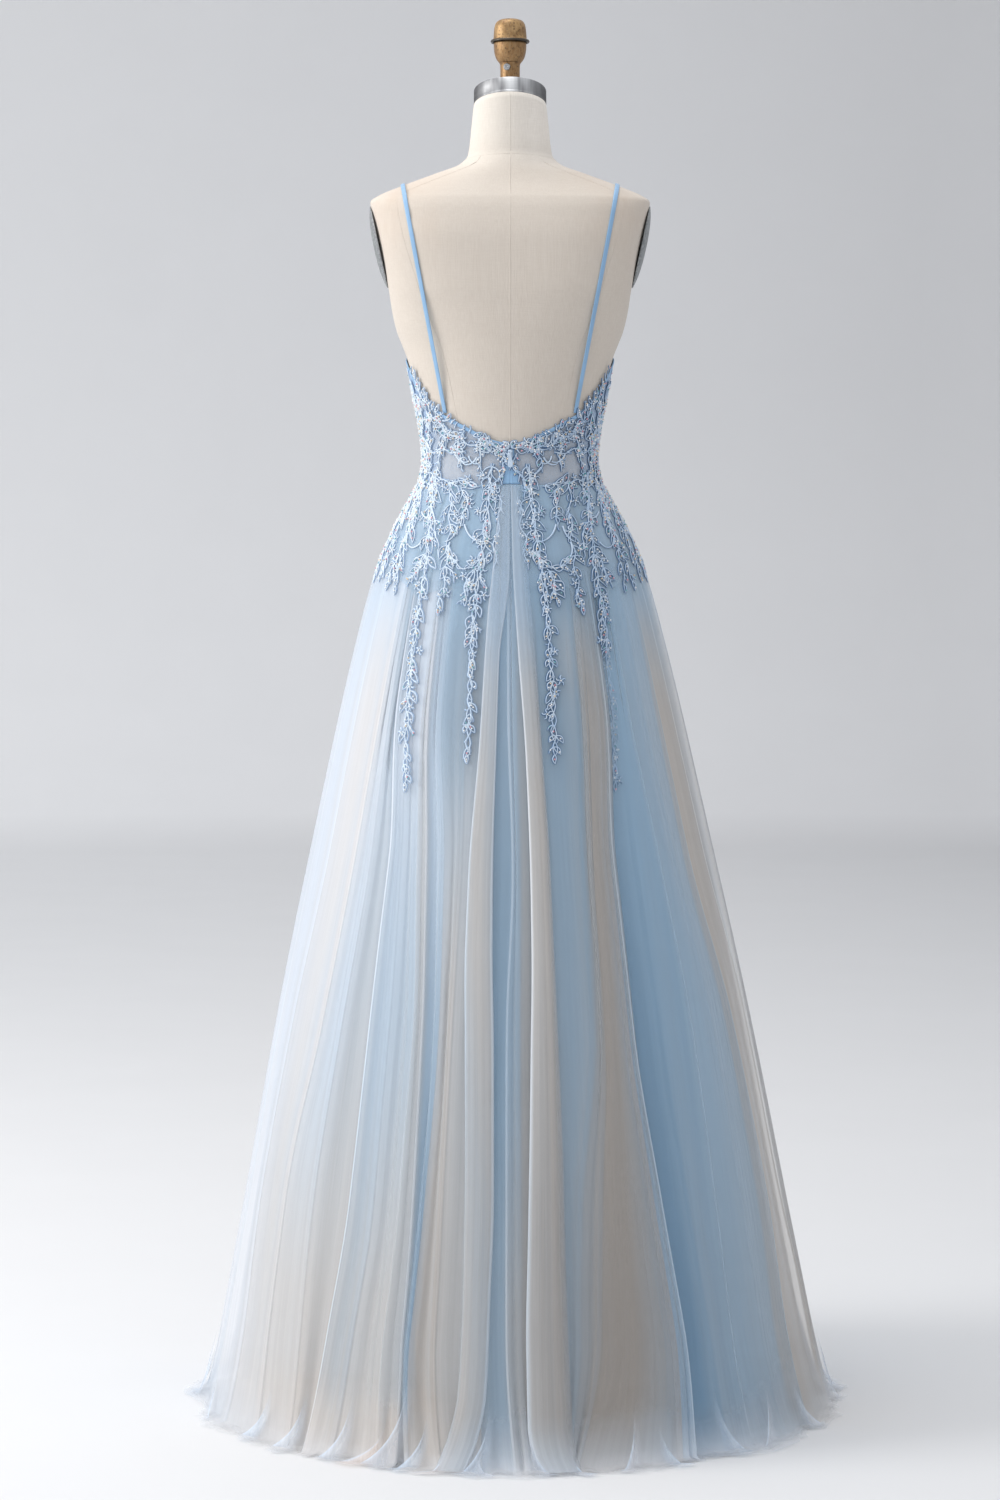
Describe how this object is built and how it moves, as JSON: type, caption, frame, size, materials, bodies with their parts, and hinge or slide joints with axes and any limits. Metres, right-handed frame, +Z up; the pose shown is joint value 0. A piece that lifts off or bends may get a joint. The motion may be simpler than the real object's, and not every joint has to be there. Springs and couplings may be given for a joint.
{
  "type": "ball gown on dress form",
  "caption": "Backless, floor-length tulle ball gown with lace sprays and thin straps, worn on a limbless dress form on a pole and round base.",
  "frame": {"origin": "on the floor, at the centre of the underside of the stand's round base, on the pole's axis", "axes": "+Z up; -Y is the way the form faces, so +Y is the back of the gown with its zip; +X is the wearer's left"},
  "size_m": [0.8031, 0.8202, 1.7474],
  "materials": {
    "form_linen": "plain woven linen",
    "plate_grey": "speckled grey",
    "steel": "brushed",
    "brass": "aged",
    "satin_blue": "satin",
    "tulle_blue": "sheer tulle",
    "tulle_beige": "sheer tulle",
    "bodice_net": "sheer net",
    "lace_cord": "corded lace with beads",
    "zip_enamel": "enamelled"
  },
  "bodies": {
    "gown_on_form": {"back_flap_left": "tulle_beige", "back_flap_right": "tulle_beige", "bodice_back_left": "bodice_net", "bodice_back_right": "bodice_net", "bodice_front_left": "bodice_net", "bodice_front_right": "bodice_net", "bodice_side_left": "bodice_net", "bodice_side_right": "bodice_net", "finial_bowl": "brass", "finial_cap": "brass", "finial_screw": "steel", "finial_stem": "brass", "form_arm_plate_left": "plate_grey", "form_arm_plate_right": "plate_grey", "form_neck_cap": "steel", "form_torso": "form_linen", "lace_cascade_inner_left": "lace_cord", "lace_cascade_inner_right": "lace_cord", "lace_cascade_outer_left": "lace_cord", "lace_cascade_outer_right": "lace_cord", "lace_flank_left": "lace_cord", "lace_flank_right": "lace_cord", "lace_front_centre_left": "lace_cord", "lace_front_centre_right": "lace_cord", "lace_front_hip_left": "lace_cord", "lace_front_hip_right": "lace_cord", "lace_hip_left": "lace_cord", "lace_hip_right": "lace_cord", "lace_midriff_left": "lace_cord", "lace_midriff_right": "lace_cord", "lace_neckline_left": "lace_cord", "lace_neckline_right": "lace_cord", "lace_side_left": "lace_cord", "lace_side_right": "lace_cord", "lining_gore_1": "satin_blue", "lining_gore_2": "satin_blue", "lining_gore_3": "satin_blue", "lining_gore_4": "satin_blue", "lining_gore_5": "satin_blue", "lining_gore_6": "satin_blue", "stand_base": "steel", "stand_pole": "steel", "strap_left": "satin_blue", "strap_right": "satin_blue", "tulle_gore_01": "tulle_beige", "tulle_gore_02": "tulle_blue", "tulle_gore_03": "tulle_beige", "tulle_gore_04": "tulle_blue", "tulle_gore_05": "tulle_beige", "tulle_gore_06": "tulle_blue", "tulle_gore_07": "tulle_beige", "tulle_gore_08": "tulle_blue", "tulle_gore_09": "tulle_beige", "tulle_gore_10": "tulle_blue", "tulle_gore_11": "tulle_beige", "tulle_gore_12": "tulle_blue", "zip_placket": "satin_blue", "zip_slider": "zip_enamel"},
    "zip_pull": {"zip_pull_tab": "zip_enamel"}
  },
  "joints": [
    {"name": "zip_tab_swing", "type": "hinge", "parent": "gown_on_form", "child": "zip_pull", "pos_m": [0, 0.08793, 1.2005], "axis": [1, 0, 0], "range_deg": [0, 150]}
  ]
}
